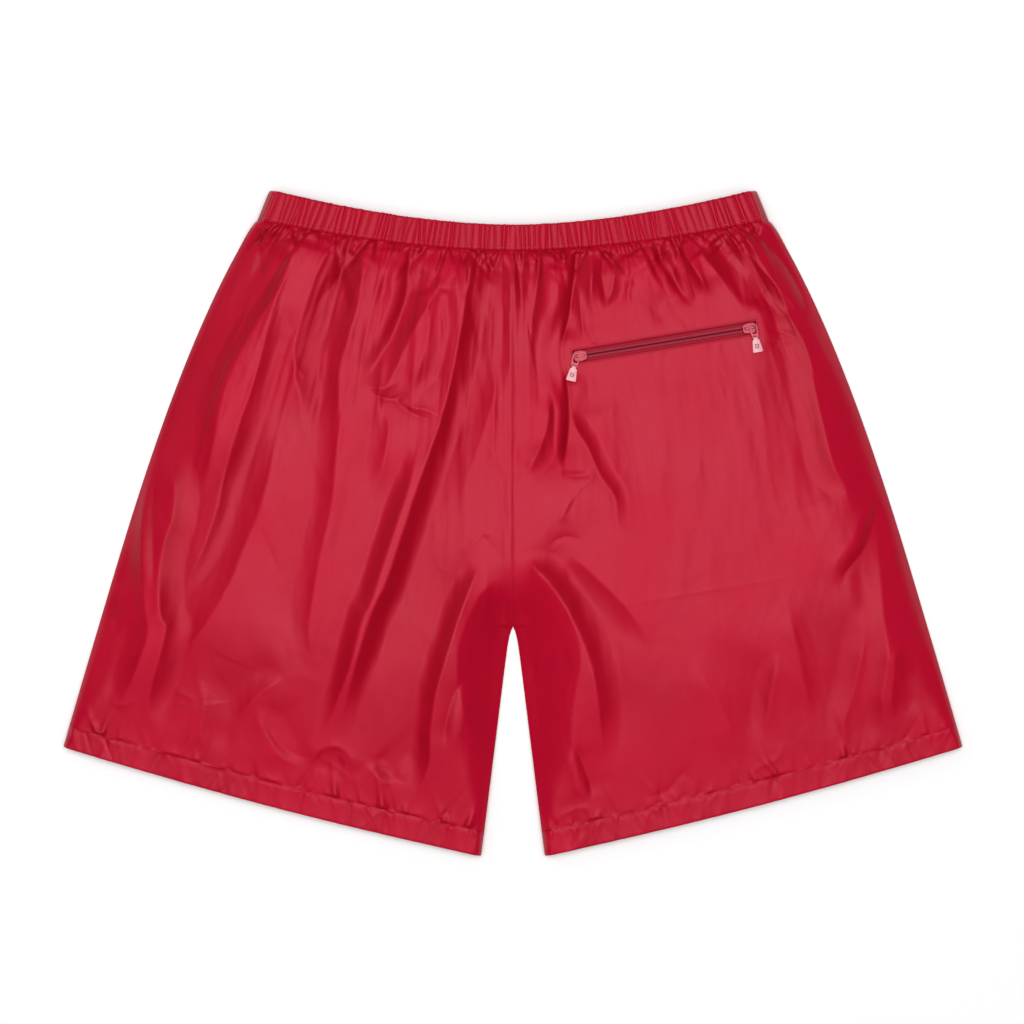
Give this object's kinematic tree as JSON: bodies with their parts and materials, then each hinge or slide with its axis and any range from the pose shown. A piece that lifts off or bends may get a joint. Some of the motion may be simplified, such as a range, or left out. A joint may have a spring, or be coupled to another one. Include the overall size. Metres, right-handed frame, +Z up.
{
  "type": "boxing shorts",
  "caption": "Lightweight nylon shorts lying flat, with a gathered elastic waist, wide flared legs and a zipped back pocket closed by a slider at each end.",
  "frame": {"origin": "on the floor under the middle of the outline", "axes": "+X to the wearer's right, +Y towards the waist, +Z up out of the back of the shorts"},
  "size_m": [0.7354, 0.544, 0.025],
  "materials": {
    "nylon": "thin plain-weave nylon with a soft silky sheen",
    "pocket_lining": "matt woven lining",
    "elastic_web": "knitted elastic webbing",
    "zip_tape": "herringbone woven tape",
    "zip_coil": "satin nylon coil",
    "slider_metal": "glossy red lacquer over die-cast metal",
    "tab_metal": "pale pink metallic lacquer",
    "pin_steel": "lacquered wire",
    "label_cloth": "blank woven satin"
  },
  "bodies": {
    "garment": {"back_panel_left": "nylon", "back_panel_right": "nylon", "front_panel_left": "nylon", "front_panel_right": "nylon", "waistband_left": "nylon", "waistband_right": "nylon", "waist_elastic": "elastic_web", "centre_back_allowance": "nylon", "centre_front_allowance": "nylon", "care_label": "label_cloth", "hem_left": "nylon", "hem_right": "nylon", "side_allowance_left": "nylon", "side_allowance_right": "nylon", "inseam_allowance_left": "nylon", "inseam_allowance_right": "nylon", "window_facing": "nylon", "zip_tape_upper": "zip_tape", "zip_tape_lower": "zip_tape", "zip_coil_upper": "zip_coil", "zip_coil_lower": "zip_coil", "zip_stop_left": "zip_coil", "zip_stop_right": "zip_coil", "pocket_bag_outer": "pocket_lining", "pocket_bag_inner": "pocket_lining"},
    "left_slider": {"slider_left": "slider_metal"},
    "left_link": {"pull_link_left": "slider_metal", "pull_pin_left": "pin_steel"},
    "left_tab": {"pull_tab_left": "tab_metal"},
    "right_slider": {"slider_right": "slider_metal"},
    "right_link": {"pull_link_right": "slider_metal", "pull_pin_right": "pin_steel"},
    "right_tab": {"pull_tab_right": "tab_metal"}
  },
  "joints": [
    {"name": "left_slider_run", "type": "slide", "parent": "garment", "child": "left_slider", "axis": [0.9869, 0.1616, 0], "range_m": [0, 0.05]},
    {"name": "left_link_swivel", "type": "hinge", "parent": "left_slider", "child": "left_link", "pos_m": [0.05157, 0.13564, 0.0231], "axis": [0, 0, -1], "range_deg": [-60, 195]},
    {"name": "left_tab_lift", "type": "hinge", "parent": "left_link", "child": "left_tab", "pos_m": [0.04956, 0.12717, 0.0231], "axis": [-0.9728, 0.2317, 0], "range_deg": [0, 115]},
    {"name": "right_slider_run", "type": "slide", "parent": "garment", "child": "right_slider", "axis": [-0.9869, -0.1616, 0], "range_m": [0, 0.05]},
    {"name": "right_link_swivel", "type": "hinge", "parent": "right_slider", "child": "right_link", "pos_m": [0.19526, 0.15917, 0.0231], "axis": [0, 0, 1], "range_deg": [-45, 215]},
    {"name": "right_tab_lift", "type": "hinge", "parent": "right_link", "child": "right_tab", "pos_m": [0.19686, 0.15061, 0.0231], "axis": [-0.9829, -0.184, 0], "range_deg": [0, 115]}
  ]
}
